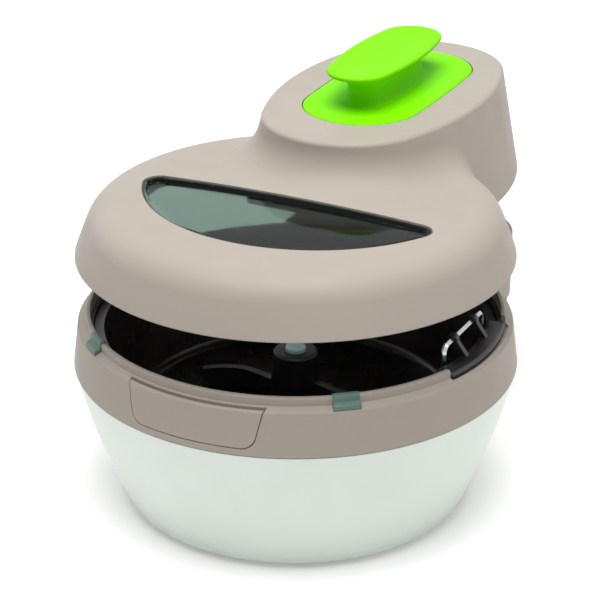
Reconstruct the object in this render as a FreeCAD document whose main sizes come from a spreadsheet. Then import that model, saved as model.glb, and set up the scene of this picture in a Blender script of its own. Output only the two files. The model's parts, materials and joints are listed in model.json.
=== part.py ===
import FreeCAD, Part
import math
import os
import Sketcher

Vector = FreeCAD.Vector

# Driving sizes, in millimetres and degrees: name, value, meaning.
driving_sizes = [
    ("ring_radius", 150, "outer radius of the collar round the bowl"),
    ("ring_wall", 3, "wall of the collar"),
    ("ring_lean", 3.5, "lean of the collar's wall from bottom to top"),
    ("ring_bottom", 99, "height of the collar's lower edge"),
    ("ring_top", 131, "height of the collar's ledge"),
    ("ledge_width", 9, "width of the ledge outside the flange"),
    ("ledge_drop", 2.2, "fall of the ledge towards its outer edge"),
    ("flange_height", 5.5, "height of the flange above the ledge"),
    ("bowl_radius", 142, "outer radius of the bowl at the collar"),
    ("belly_radius", 149.4, "outer radius of the bowl under the collar"),
    ("belly_round", 504, "radius of the bowl's swelling side"),
    ("bowl_foot_radius", 119.5, "outer radius of the bowl at the bottom"),
    ("bowl_wall", 2.5, "wall of the bowl and the rear housing"),
    ("foot_height", 3, "height of the rubber feet"),
    ("foot_radius", 9, "radius of a rubber foot"),
    ("tower_half", 80, "half width of the rear tower"),
    ("tower_rear", 228, "rear face of the tower behind the bowl axis"),
    ("tower_corner", 45, "corner radius of the tower"),
    ("tower_seam", 76, "height of the seam under the tower collar"),
    ("vent_height", 6, "height of the dark vent band"),
    ("well_floor", 52.5, "height of the pan well's floor"),
    ("pan_floor", 60, "height of the pan's inner floor"),
    ("pan_rim_radius", 135, "outer radius of the pan's lip"),
    ("pan_rim", 124, "height of the pan's lip"),
    ("shaft_radius", 4, "radius of the drive shaft"),
    ("bail_x", 13, "distance of the wire handle inside the pan's lip"),
    ("bail_height", 19.5, "height of the wire handle's bar above the pan's lip"),
    ("bail_half", 31, "half width of the wire handle"),
    ("wire_radius", 1.75, "radius of the handle wire"),
    ("button_half", 48, "half width of the front push panel at the ledge"),
    ("button_taper", 5.5, "what each side of the push panel draws in by at its foot"),
    ("button_bottom", 104, "height of the push panel's lower edge"),
    ("button_gap", 0.6, "gap round the push panel"),
    ("button_corner", 9, "radius of the push panel's lower corners"),
    ("pad_angle", 39.8, "angle of each rim pad from the front"),
    ("pad_span", 7, "angle that a rim pad covers"),
    ("pad_wall", 0.8, "wall of a rim pad"),
    ("pad_play", 0.1, "room between a rim pad and the flange"),
    ("seat_gap", 1.8, "closed lid's height above the ledge"),
    ("lid_lift", 44, "height the lid is raised by"),
    ("lid_radius", 146.5, "radius of the lid's rim"),
    ("lid_wall", 2.4, "wall of the lid"),
    ("seal_width", 2.4, "width of the lid's seal"),
    ("seal_height", 7, "height of the lid's seal above the rim"),
    ("dome_height", 39.7, "height of the lid's dome"),
    ("crown_height", 3.8, "rise of the dome's crown"),
    ("shoulder_width", 27.5, "width of the dome's round shoulder"),
    ("shoulder_round", 22.3, "radius of the dome's shoulder"),
    ("side_height", 22, "height of the dome's steep side"),
    ("side_lean", 8.2, "lean of the dome's steep side"),
    ("side_round", 600, "radius of the dome's steep side"),
    ("neck_round", 28, "radius of the neck between dome and hood"),
    ("neck_side_round", 6, "radius of the neck at the sides"),
    ("hood_height", 69, "height of the hood's top above the rim"),
    ("hood_half", 71, "half width of the hood's top"),
    ("hood_length", 118.5, "half length of the hood's top"),
    ("hood_middle", 139.5, "middle of the hood's top behind the axis"),
    ("hood_tip", 60, "radius of the hood's ends at the top"),
    ("hood_foot_tip", 80, "radius of the hood's ends at the rim"),
    ("hood_foot_half", 89, "half width of the hood at the rim"),
    ("hood_foot_length", 125, "half length of the hood at the rim"),
    ("hood_foot_middle", 135, "middle of the hood at the rim"),
    ("cover_half", 42.2, "half width of the filter cover"),
    ("cover_length", 85.5, "half length of the filter cover"),
    ("cover_middle", 145.3, "middle of the filter cover behind the axis"),
    ("grip_half", 26, "half width of the filter cover's grip"),
    ("grip_length", 65, "half length of the filter cover's grip"),
    ("grip_middle", 138, "middle of the grip behind the axis"),
    ("grip_rise", 28, "height of the grip's top above the hood"),
    ("window_radius", 113, "radius of the window's curved edge"),
    ("window_middle", 26, "centre of the window's curve behind the axis"),
    ("window_chord", 8, "straight edge of the window before the axis"),
    ("hinge_y", 194, "lid hinge behind the axis"),
    ("hinge_z", 9, "lid hinge above the lid's rim"),
    ("pin_radius", 4, "radius of the hinge pin"),
    ("column_half", 48, "half width of the lift column"),
    ("column_front", 166, "front face of the lift column"),
    ("column_rear", 200, "rear face of the lift column"),
    ("column_length", 76, "length of the lift column"),
    ("fan_y", 108, "fan axis behind the bowl axis"),
    ("fan_radius", 34, "radius of the fan wheel"),
    ("origin_shift", 55, "middle of the whole fryer behind the bowl axis"),
]

doc = FreeCAD.newDocument("DeepFryer")
sheet = doc.addObject("Spreadsheet::Sheet", "Sizes")
for row, (name, value, meaning) in enumerate(driving_sizes, 1):
    sheet.set(f"A{row}", name)
    sheet.set(f"B{row}", str(value))
    sheet.set(f"C{row}", meaning)
    sheet.setAlias(f"B{row}", name)
doc.recompute()


class Size:
    # A length that knows its value and the sheet expression behind it.
    def __init__(self, value, text):
        self.value = float(value)
        self.text = text

    def mixed(self, other, sign, value):
        return Size(value, f"({self.text} {sign} {as_size(other).text})")

    def __add__(self, other):
        return self.mixed(other, "+", self.value + as_size(other).value)

    def __sub__(self, other):
        return self.mixed(other, "-", self.value - as_size(other).value)

    def __mul__(self, other):
        return self.mixed(other, "*", self.value * as_size(other).value)

    def __truediv__(self, other):
        return self.mixed(other, "/", self.value / as_size(other).value)

    def __radd__(self, other):
        return as_size(other) + self

    def __rsub__(self, other):
        return as_size(other) - self

    def __rmul__(self, other):
        return as_size(other) * self

    def __neg__(self):
        return Size(-self.value, f"(-1 * {self.text})")


def as_size(value):
    if isinstance(value, Size):
        return value
    return Size(value, f"({float(value)})")


class Cells:
    def __getattr__(self, alias):
        return Size(sheet.get(alias), "Sizes." + alias)


size = Cells()


def drive(item, prop, value):
    item.setExpression(prop, as_size(value).text)


def origin_part(body, role):
    return next(part for part in body.Origin.OriginFeatures if part.Role == role)


# Closed outline of straight and round edges; a third number is the radius of
# the edge that ends at the point, positive where it turns left.
def outline(body, role, name, points, offset=None, closed=True):
    sketch = body.newObject("Sketcher::SketchObject", name)
    sketch.AttachmentSupport = (origin_part(body, role), [""])
    sketch.MapMode = "FlatFace"
    if offset is not None:
        drive(sketch, "AttachmentOffset.Base.z", offset)
    corners = [(as_size(point[0]), as_size(point[1])) for point in points]
    spots = [Vector(x.value, y.value, 0) for x, y in corners]
    edges, ends, rules, texts = [], [], [], []
    count = len(points) if closed else len(points) - 1
    for here in range(count):
        after = (here + 1) % len(points)
        start, stop = spots[here], spots[after]
        if len(points[after]) < 3:
            edges.append(Part.LineSegment(start, stop))
            ends.append((1, 2))
            continue
        bend = as_size(points[after][2])
        chord = stop - start
        left = Vector(-chord.y, chord.x, 0) / chord.Length
        rise = math.sqrt(max(bend.value**2 - chord.Length**2 / 4, 0))
        centre = (start + stop) / 2 + left * math.copysign(rise, bend.value)
        turns = [math.atan2(p.y - centre.y, p.x - centre.x) for p in (start, stop)]
        if bend.value < 0:
            turns.reverse()
        circle = Part.Circle(centre, Vector(0, 0, 1), abs(bend.value))
        edges.append(Part.ArcOfCircle(circle, *turns))
        ends.append((1, 2) if bend.value > 0 else (2, 1))
        rules.append(Sketcher.Constraint("Radius", here, abs(bend.value)))
        texts.append(bend.text if bend.value > 0 else f"(-1 * {bend.text})")
    sketch.addGeometry(edges, False)
    for here in range(count):
        if closed or here + 1 < count:
            after = (here + 1) % count
            rules.append(
                Sketcher.Constraint("Coincident", here, ends[here][1], after, ends[after][0])
            )
            texts.append(None)
    for here, corner in enumerate(corners):
        edge, end = (here, ends[here][0]) if here < count else (count - 1, ends[-1][1])
        for kind, axis, length in (("DistanceX", -2, corner[0]), ("DistanceY", -1, corner[1])):
            if length.value == 0:
                rules.append(Sketcher.Constraint("PointOnObject", edge, end, axis))
                texts.append(None)
            else:
                rules.append(Sketcher.Constraint(kind, -1, 1, edge, end, length.value))
                texts.append(length.text)
    sketch.addConstraint(rules)
    for place, text in enumerate(texts):
        if text:
            sketch.setExpression(f"Constraints[{place}]", text)
    return sketch


def new_body(name):
    return doc.addObject("PartDesign::Body", name)


def turned(name, points, angle=None):
    body = new_body(name)
    sketch = outline(body, "XZ_Plane", name + "_profile", points)
    feature = body.newObject("PartDesign::Revolution", name + "_turn")
    feature.Profile = sketch
    feature.ReferenceAxis = (sketch, ["V_Axis"])
    if angle is not None:
        feature.Midplane = True
        drive(feature, "Angle", angle)
    return body


def prism(name, points, low, high, plane="XY_Plane"):
    body = new_body(name)
    feature = body.newObject("PartDesign::Pad", name + "_pad")
    feature.Profile = outline(body, plane, name + "_outline", points, low)
    drive(feature, "Length", as_size(high) - low)
    return body


def loft(name, low_points, low, high_points, high):
    body = new_body(name)
    feature = body.newObject("PartDesign::AdditiveLoft", name + "_loft")
    feature.Profile = outline(body, "XY_Plane", name + "_low", low_points, low)
    feature.Sections = [outline(body, "XY_Plane", name + "_high", high_points, high)]
    feature.Ruled = True
    return body


def box(name, x, y, z):
    item = doc.addObject("Part::Box", name)
    for prop, letter, span in (("Length", "x", x), ("Width", "y", y), ("Height", "z", z)):
        drive(item, prop, as_size(span[1]) - span[0])
        drive(item, "Placement.Base." + letter, span[0])
    return item


turns_to = {
    "x": FreeCAD.Rotation(Vector(0, 1, 0), 90),
    "y": FreeCAD.Rotation(Vector(1, 0, 0), -90),
    "z": FreeCAD.Rotation(),
}


# Cylinder along one axis: `at` holds its other two coordinates in x, y, z order.
def rod(name, axis, at, radius, span):
    item = doc.addObject("Part::Cylinder", name)
    item.Placement = FreeCAD.Placement(Vector(), turns_to[axis])
    drive(item, "Radius", radius)
    drive(item, "Height", as_size(span[1]) - span[0])
    others = [letter for letter in "xyz" if letter != axis]
    for letter, value in zip(others + [axis], [*at, span[0]]):
        drive(item, "Placement.Base." + letter, value)
    return item


def torus(name, x, y, z, radius, thick):
    item = doc.addObject("Part::Torus", name)
    drive(item, "Radius1", radius)
    drive(item, "Radius2", thick)
    for letter, value in zip("xyz", (x, y, z)):
        drive(item, "Placement.Base." + letter, value)
    return item


def joined(name, *items):
    item = doc.addObject("Part::MultiFuse", name)
    item.Shapes = list(items)
    item.Refine = True
    return item


def cut(name, base, *tools):
    item = doc.addObject("Part::Cut", name)
    item.Base = base
    item.Tool = tools[0] if len(tools) == 1 else joined(name + "_tools", *tools)
    return item


def overlap(name, first, second):
    item = doc.addObject("Part::Common", name)
    item.Base = first
    item.Tool = second
    return item


def together(name, *items):
    item = doc.addObject("Part::Compound", name)
    item.Links = list(items)
    return item


# Rounds the wanted edges; `radius` gives the radius at a point of an edge.
def rounded(name, base, radius, wanted):
    doc.recompute()
    item = doc.addObject("Part::Fillet", name)
    item.Base = base
    item.Edges = [
        (place, radius(edge.valueAt(edge.FirstParameter)), radius(edge.valueAt(edge.LastParameter)))
        for place, edge in enumerate(base.Shape.Edges, 1)
        if wanted(edge)
    ]
    return item


def even(radius):
    return lambda point: as_size(radius).value


def softened(body, radius, wanted):
    doc.recompute()
    names = [f"Edge{i}" for i, edge in enumerate(body.Shape.Edges, 1) if wanted(edge)]
    tip = body.Tip
    feature = body.newObject("PartDesign::Fillet", body.Name + "_round")
    feature.Base = (tip, names)
    drive(feature, "Radius", radius)
    return body


def level(height):
    def wanted(edge):
        return all(abs(v.Z - height.value) < 1e-4 for v in edge.Vertexes)

    return wanted


def upright(edge):
    ends = edge.Vertexes
    return len(ends) == 2 and abs(ends[0].X - ends[1].X) + abs(ends[0].Y - ends[1].Y) < 1e-4


# Rounded rectangle about the Y axis, from `front` to `rear`.
def slab(half, front, rear, corner):
    half, front, rear, corner = (as_size(v) for v in (half, front, rear, corner))
    return [
        (half - corner, front),
        (half, front + corner, corner),
        (half, rear - corner),
        (half - corner, rear, corner),
        (corner - half, rear),
        (-half, rear - corner, corner),
        (-half, front + corner),
        (corner - half, front, corner),
    ]


# Oval of four arcs about the Y axis: `tip` is the radius of its two ends.
def oval(half, length, middle, tip):
    half, length, middle, tip = (as_size(v) for v in (half, length, middle, tip))
    side = (half * half + length * length - 2 * length * tip) / (2 * (half - tip))
    x = tip * (side - half) / (side - tip)
    y = (length - tip) * side / (side - tip)
    return [
        (x, middle + y, side),
        (-x, middle + y, tip),
        (-x, middle - y, side),
        (x, middle - y, tip),
    ]


nodes = []


# Names a finished piece and sets it in the fryer's frame, raised by `lift`.
def node(label, item, lift=None):
    item.Label = label
    drive(item, "Placement.Base.y", -size.origin_shift)
    if lift is not None:
        drive(item, "Placement.Base.z", lift)
    nodes.append(item)
    return item


lid_rise = size.ring_top + size.seat_gap + size.lid_lift
ledge_bottom = size.ring_top - size.ring_wall
flange_radius = size.ring_radius - size.ledge_width
flange_inside = flange_radius - size.ring_wall
floor_top = size.foot_height + size.bowl_wall

# Bowl: a swelling shell that narrows to an upright neck inside the collar.
belly_top = size.ring_bottom - 0.4
foot_top = size.foot_height + 6
node("base_bowl", turned("bowl", [
    (size.bowl_foot_radius - 8, size.foot_height),
    (size.bowl_foot_radius - 5, size.foot_height),
    (size.bowl_foot_radius, foot_top, 6),
    (size.belly_radius, belly_top, size.belly_round),
    (size.bowl_radius, belly_top),
    (size.bowl_radius, ledge_bottom),
    (size.bowl_radius - size.bowl_wall, ledge_bottom),
    (size.bowl_radius - size.bowl_wall, belly_top - size.bowl_wall),
    (size.belly_radius - size.bowl_wall - 0.8, belly_top - size.bowl_wall),
    (size.bowl_foot_radius - size.bowl_wall, foot_top, -size.belly_round),
    (size.bowl_foot_radius - 8, floor_top),
]))
bowl_space = turned("bowl_space", [
    (0, 0),
    (size.bowl_foot_radius + 0.3, 0),
    (size.bowl_foot_radius + 0.3, foot_top),
    (size.belly_radius + 0.3, belly_top, size.belly_round),
    (size.belly_radius + 0.3, size.ring_bottom),
    (size.bowl_radius + 0.3, size.ring_bottom),
    (size.bowl_radius + 0.3, size.ring_top + 20),
    (0, size.ring_top + 20),
])

# Bottom plate with its feet and screws.
screw_places = [(62, 62), (-62, 62), (-62, -62), (62, -62)]
plate_blank = rod("plate_blank", "z", (0, 0), size.bowl_foot_radius - 8.3, (size.foot_height, floor_top))
plate_holes = [
    rod(f"plate_hole{i}", "z", (x, y), 2.2, (0, 10)) for i, (x, y) in enumerate(screw_places)
]
node("base_plate", cut("plate", plate_blank, *plate_holes))
foot_places = [(50, -78), (-50, -78), (52, 200), (-52, 200)]
node("rubber_feet", together("feet", *[
    rod(f"foot{i}", "z", (x, y), size.foot_radius, (0, size.foot_height))
    for i, (x, y) in enumerate(foot_places)
]))
node("plate_screws", together("screws", *[
    joined(
        f"screw{i}",
        rod(f"screw_head{i}", "z", (x, y), 4, (size.foot_height - 1.8, size.foot_height)),
        rod(f"screw_shank{i}", "z", (x, y), 1.6, (size.foot_height - 0.5, 18)),
    )
    for i, (x, y) in enumerate(screw_places)
]))

# Collar ring with its ledge and flange, open at the push panel and the handle.
ring_top_radius = size.ring_radius - size.ring_lean
ring_edge = size.ring_top - size.ledge_drop
ring_blank = turned("ring_blank", [
    (size.ring_radius - size.ring_wall, size.ring_bottom),
    (size.ring_radius - 0.8, size.ring_bottom),
    (size.ring_radius, size.ring_bottom + 0.8, 0.8),
    (ring_top_radius, ring_edge - 1.5),
    (ring_top_radius - 1.5, ring_edge, 1.5),
    (flange_radius, size.ring_top),
    (flange_radius, size.ring_top + size.flange_height - 1),
    (flange_radius - 1, size.ring_top + size.flange_height),
    (flange_inside, size.ring_top + size.flange_height),
    (flange_inside, ledge_bottom),
    (ring_top_radius - size.ring_wall, ledge_bottom),
])


# Leaning band between two distances inside the collar's outer face.
def leaning_band(name, inside, outside, high):
    return turned(name, [
        (size.ring_radius - inside, size.ring_bottom),
        (size.ring_radius - outside, size.ring_bottom),
        (ring_top_radius - outside, ring_edge),
        (ring_top_radius - outside, high),
        (ring_top_radius - inside, high),
        (ring_top_radius - inside, ring_edge),
    ])


panel_top = size.ring_top + 5


# Front view of the push panel, grown by `grow`: sides that draw in towards
# the foot and round lower corners.
def panel_outline(grow, top):
    low = size.button_bottom - grow
    corner = size.button_corner + grow
    lean = size.button_taper / (size.ring_top - size.button_bottom)
    slant = Size(math.sqrt(1 + lean.value**2), f"sqrt(1 + {lean.text} * {lean.text})")
    foot = size.button_half - size.button_taper + grow * (slant - lean)
    head = foot + lean * (top - low)
    bend = corner / (slant + lean)
    side = foot + bend * lean / slant
    return [
        (-head, top),
        (-side, low + bend / slant),
        (bend - foot, low, corner),
        (foot - bend, low),
        (side, low + bend / slant, corner),
        (head, top),
    ]


def panel_prism(name, grow, top):
    points = panel_outline(grow, top)
    return prism(name, points, size.ring_radius - 60, size.ring_radius + 10, "XZ_Plane")


panel_gap = panel_prism("panel_gap", size.button_gap, panel_top)
panel_depth = leaning_band("panel_depth", size.ring_wall + 1.2, as_size(-5), panel_top)
panel_room = overlap("panel_room", panel_gap, panel_depth)
handle_room = overlap(
    "handle_room",
    box(
        "handle_room_box",
        (100, size.ring_radius),
        (-size.bail_half - 15, size.bail_half + 15),
        (ledge_bottom + 0.2, size.ring_top + 20),
    ),
    rod("handle_room_round", "z", (0, 0), flange_radius + 2, (size.ring_bottom, size.ring_top + 30)),
)
node("collar_ring", cut("ring", ring_blank, panel_room, handle_room))

# Front push panel that frees the lid, with its leaf spring behind.
panel_shape = panel_prism("panel_shape", as_size(0), ring_edge)
panel_shell = leaning_band("panel_shell", size.ring_wall, as_size(0), panel_top)
panel = overlap("panel_blank", panel_shape, panel_shell)


def panel_top_edge(edge):
    middle = edge.valueAt((edge.FirstParameter + edge.LastParameter) / 2)
    reach = math.hypot(middle.x, middle.y) - ring_top_radius.value
    return abs(middle.z - ring_edge.value) < 1e-3 and abs(reach) < 1e-3


node("release_panel", rounded("panel_soft", panel, even(1.2), panel_top_edge))
leaf_front = -size.bowl_radius - 0.9
leaf = box("leaf", (-9, 9), (leaf_front, leaf_front + 0.6), (110, 122))
node("panel_spring", together("panel_leaf", leaf))

# Rim pads: soft saddles over the flange and ledge that the closed lid rests on.
pad_inside = flange_inside - size.pad_wall - size.pad_play
pad_outside = flange_radius + size.pad_wall + size.pad_play
pad_low = size.ring_top + 0.1
pad_high = size.ring_top + size.flange_height + 0.1
pad_profile = [
    (pad_inside, pad_low + 1.4),
    (flange_inside - size.pad_play, pad_low + 1.4),
    (flange_inside - size.pad_play, pad_high),
    (flange_radius + 0.1, pad_high),
    (flange_radius + 0.1, pad_low),
    (ring_top_radius - 1.6, pad_low - size.ledge_drop * 0.97),
    (ring_top_radius - 1.6, pad_low + 1.4),
    (pad_outside, pad_low + 1.4),
    (pad_outside, pad_high + size.pad_wall),
    (pad_inside, pad_high + size.pad_wall),
]
for side, sign in (("left", -1), ("right", 1)):
    pad = turned("pad_" + side, pad_profile, size.pad_span)
    pad.Placement = FreeCAD.Placement(Vector(), FreeCAD.Rotation(Vector(0, 0, 1), -60))
    drive(pad, "Placement.Rotation.Angle", -90 + sign * size.pad_angle)
    node("rim_pad_" + side, pad)

# Rear tower: light housing below, dark vent band, collar on top.
ring_space = turned("ring_space", [
    (0, size.ring_bottom - 1),
    (size.ring_radius + 0.3, size.ring_bottom - 1),
    (size.ring_radius + 0.3, size.ring_bottom),
    (ring_top_radius + 0.3, size.ring_top),
    (ring_top_radius + 0.3, size.ring_top + 20),
    (0, size.ring_top + 20),
])
collar_bottom = size.tower_seam + size.vent_height


def tower_shell(name, inset, wall, low, high, floor=None, roof=None):
    outer = prism(name + "_outer", slab(
        size.tower_half - inset, 40, size.tower_rear - inset, size.tower_corner - inset
    ), low, high)
    inner = prism(name + "_inner", slab(
        size.tower_half - inset - wall, 30, size.tower_rear - inset - wall,
        size.tower_corner - inset - wall,
    ), low - 5 if floor is None else low + floor, high + 5 if roof is None else high - roof)
    return outer, inner


housing_outer, housing_inner = tower_shell(
    "housing", 2, size.bowl_wall, size.foot_height, size.tower_seam, floor=size.bowl_wall
)
switch_room = box("switch_room", (-51, -29), (210, 240), (38, 52))
gland_room = rod("gland_room", "y", (45, 26), 7, (200, 240))
node("rear_housing", cut("housing", housing_outer, housing_inner, bowl_space, switch_room, gland_room))
vent_outer, vent_inner = tower_shell("vent", 5, 3, size.tower_seam, collar_bottom)
vent_slots = [
    box(f"vent_slot{i}", (x - 2, x + 2), (200, 240), (size.tower_seam + 1, collar_bottom - 1))
    for i, x in enumerate(range(-30, 31, 6))
]
node("vent_band", cut("vent", vent_outer, vent_inner, bowl_space, *vent_slots))
collar_outer, collar_inner = tower_shell(
    "tower", 0, size.ring_wall, collar_bottom, size.ring_top, roof=size.ring_wall
)
collar_outer = softened(collar_outer, 2, level(size.ring_top))
column_room = prism("column_room", slab(
    size.column_half + 0.4, size.column_front - 0.4, size.column_rear + 0.4, 8.4
), ledge_bottom - 10, size.ring_top + 10)
node("tower_collar", cut("tower", collar_outer, collar_inner, bowl_space, ring_space, column_room))
guide_outer = prism("guide_outer", slab(
    size.column_half + 5, size.column_front - 5, size.column_rear + 5, 13
), size.ring_bottom + 1, ledge_bottom)
guide_inner = prism("guide_inner", slab(
    size.column_half + 0.08, size.column_front - 0.08, size.column_rear + 0.08, 8.08
), size.ring_bottom - 4, ledge_bottom + 5)
node("column_guide", cut("guide", guide_outer, guide_inner))

# Lift column: the raised lid's telescoping post, with the ears of the hinge.
column_top = as_size(-1.5)
column_outer = prism("column_outer", slab(
    size.column_half, size.column_front, size.column_rear, 8
), -size.column_length, column_top)
column_hollow = prism("column_hollow", slab(
    size.column_half - 3, size.column_front + 3, size.column_rear - 3, 5
), -size.column_length - 5, column_top - 4)
ear_parts = []
for side, sign in (("left", -1), ("right", 1)):
    inside, outside = sorted((sign * 36, sign * 46))
    ear_parts.append(box(
        "ear_block_" + side,
        (inside, outside),
        (size.hinge_y - 8, size.column_rear),
        (column_top, size.hinge_z),
    ))
    ear_parts.append(rod("ear_eye_" + side, "x", (size.hinge_y, size.hinge_z), 8, (inside, outside)))
pin_room = rod("pin_room", "x", (size.hinge_y, size.hinge_z), size.pin_radius, (-70, 70))
column_solid = joined("column_solid", column_outer, *ear_parts)
node("lift_column", cut("column", column_solid, column_hollow, pin_room), lid_rise)
node("hinge_pin", together("pin", rod(
    "pin_rod", "x", (size.hinge_y, size.hinge_z), size.pin_radius, (-57, 57)
)), lid_rise)

# Pan well: the liner under the collar, with posts for the bottom screws.
well_blank = turned("well_blank", [
    (14, size.well_floor - 2.5),
    (size.pan_rim_radius - 18, size.well_floor - 2.5),
    (size.pan_rim_radius - 0.5, size.pan_rim - 4.5),
    (flange_inside, size.pan_rim - 4.5),
    (flange_inside, ledge_bottom - 2),
    (size.bowl_radius - size.bowl_wall - 0.2, ledge_bottom - 2),
    (size.bowl_radius - size.bowl_wall - 0.2, ledge_bottom),
    (flange_inside - 2, ledge_bottom),
    (flange_inside - 2, size.pan_rim - 2),
    (size.pan_rim_radius - 3.2, size.pan_rim - 2),
    (size.pan_rim_radius - 20, size.well_floor),
    (14, size.well_floor),
])
well_posts = [
    rod(f"well_post{i}", "z", (x, y), 5, (floor_top, size.well_floor - 1))
    for i, (x, y) in enumerate(screw_places)
]
post_holes = [
    rod(f"post_hole{i}", "z", (x, y), 1.65, (0, 22)) for i, (x, y) in enumerate(screw_places)
]
node("pan_well", cut("well", joined("well_solid", well_blank, *well_posts), *post_holes))

# Drive: a sealed gearmotor under the well turns the shaft through a bush.
shaft_play = 0.05
node("gear_motor", turned("gear_motor_can", [
    (size.shaft_radius + 1, 20),
    (27, 20),
    (28, 21, 1),
    (28, size.well_floor - 5.5),
    (34, size.well_floor - 5.5),
    (34, size.well_floor - 2.6),
    (size.shaft_radius + 5.2, size.well_floor - 2.6),
    (size.shaft_radius + 5.2, size.well_floor - 8),
    (size.shaft_radius + 1, size.well_floor - 8),
]))
node("shaft_bush", turned("bush", [
    (size.shaft_radius + shaft_play, size.well_floor - 7.5),
    (size.shaft_radius + 4, size.well_floor - 7.5),
    (size.shaft_radius + 4, size.well_floor - 2.5),
    (13.8, size.well_floor - 2.5),
    (13.8, size.well_floor),
    (size.shaft_radius + 4, size.well_floor),
    (size.shaft_radius + 4, size.pan_floor),
    (size.shaft_radius + shaft_play, size.pan_floor),
]))
shaft_top = size.pan_floor + 33
node("drive_shaft", turned("shaft", [
    (0, 22),
    (size.shaft_radius, 22),
    (size.shaft_radius, shaft_top - 1),
    (size.shaft_radius - 1, shaft_top),
    (0, shaft_top),
]))

# Pan with its hollow middle post.
pan_bottom = size.pan_floor - 2
post_top = size.pan_floor + 29
node("pan", turned("pan_body", [
    (9, pan_bottom),
    (size.pan_rim_radius - 28, pan_bottom),
    (size.pan_rim_radius - 21.5, pan_bottom + 5, 8),
    (size.pan_rim_radius - 4.5, size.pan_rim - 2),
    (size.pan_rim_radius, size.pan_rim - 2),
    (size.pan_rim_radius, size.pan_rim),
    (size.pan_rim_radius - 6, size.pan_rim),
    (size.pan_rim_radius - 23.4, pan_bottom + 6.4),
    (size.pan_rim_radius - 28.6, size.pan_floor, -7),
    (11.5, size.pan_floor),
    (11.5, post_top),
    (9, post_top),
]))

# Paddle: hub over the pan's post, two curved arms, press button on top.
hub_low = size.pan_floor + 1.2
hub_top = size.pan_floor + 42
button_floor = shaft_top + 1
hub = turned("paddle_hub", [
    (12.1, hub_low),
    (18, hub_low),
    (15.5, hub_top - 2),
    (13.5, hub_top, 2),
    (7.4, hub_top),
    (7.4, button_floor),
    (size.shaft_radius + shaft_play, button_floor),
    (size.shaft_radius + shaft_play, post_top + 1.5),
    (12.1, post_top + 1.5),
])
long_arm = prism("long_arm", [
    (13.5, -3), (60, -13, 140), (100, 14, 75), (98, 19), (60, -7, -70), (13.5, 3, -140),
], hub_low + 0.4, size.pan_floor + 22)
short_arm = prism("short_arm", [
    (-13.5, 3), (-45, 10, 110), (-70, -4, 50), (-68, -9), (-45, 4, -45), (-13.5, -3, -110),
], hub_low + 0.4, size.pan_floor + 16)
node("stirring_paddle", joined("paddle", joined("paddle_half", hub, long_arm), short_arm))
node("paddle_button", turned("button", [
    (0, button_floor + 3.4),
    (7.1, button_floor + 3.4),
    (7.1, hub_top + 2),
    (4.8, hub_top + 4, 3),
    (0, hub_top + 4.6, 19.5),
]))

# Pan handle: a bent wire on the pan and a black grip that swings up on its bar.
bar_x = size.pan_rim_radius - size.bail_x
bar_height = size.pan_rim + size.bail_height
wire_foot = size.pan_rim - 4.4
wire_body = new_body("bail")
wire_path = outline(wire_body, "YZ_Plane", "bail_path", [
    (-size.bail_half, wire_foot),
    (-size.bail_half, bar_height - 5),
    (5 - size.bail_half, bar_height, -5),
    (size.bail_half - 5, bar_height),
    (size.bail_half, bar_height - 5, -5),
    (size.bail_half, wire_foot),
], bar_x, closed=False)
wire_end = outline(wire_body, "XY_Plane", "bail_end", [
    (bar_x + size.wire_radius, -size.bail_half),
    (bar_x, size.wire_radius - size.bail_half, size.wire_radius),
    (bar_x - size.wire_radius, -size.bail_half, size.wire_radius),
    (bar_x, -size.wire_radius - size.bail_half, size.wire_radius),
], wire_foot)
wire_sweep = wire_body.newObject("PartDesign::AdditivePipe", "bail_wire")
wire_sweep.Profile = wire_end
wire_sweep.Spine = (wire_path, ["Edge1", "Edge2", "Edge3", "Edge4", "Edge5"])
node("handle_wire", wire_body)
grip_low = ledge_bottom + 0.8
grip_high = size.ring_top + 2.5
grip_band = cut(
    "grip_band",
    rod("grip_outer", "z", (0, 0), pad_outside - 0.6, (grip_low, grip_high)),
    rod("grip_inner", "z", (0, 0), bar_x + 6.5, (grip_low - 5, grip_high + 5)),
)
grip_reach = box(
    "grip_reach", (90, 160), (-size.bail_half - 13, size.bail_half + 13), (grip_low - 2, grip_high + 2)
)
grip_blank = rounded("grip_round", overlap("grip_blank", grip_band, grip_reach), even(2), upright)
bar_play = size.wire_radius + 0.06
lugs = []
for side, sign in (("front", -1), ("rear", 1)):
    span = sorted((sign * 14, sign * 18))
    lugs.append(prism("lug_arm_" + side, [
        (bar_x + 1.75, bar_height + 1.33),
        (bar_x - 1.75, bar_height - 1.33),
        (bar_x + 7.75, grip_low + 1.4),
        (bar_x + 11.25, grip_low + 3.6),
    ], span[0], span[1], "XZ_Plane"))
    lugs.append(rod("lug_eye_" + side, "y", (bar_x, bar_height), 3.5, span))
bar_room = rod("bar_room", "y", (bar_x, bar_height), bar_play, (-30, 30))
node("handle_grip", cut("grip", joined("grip_solid", grip_blank, *lugs), bar_room))

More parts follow.
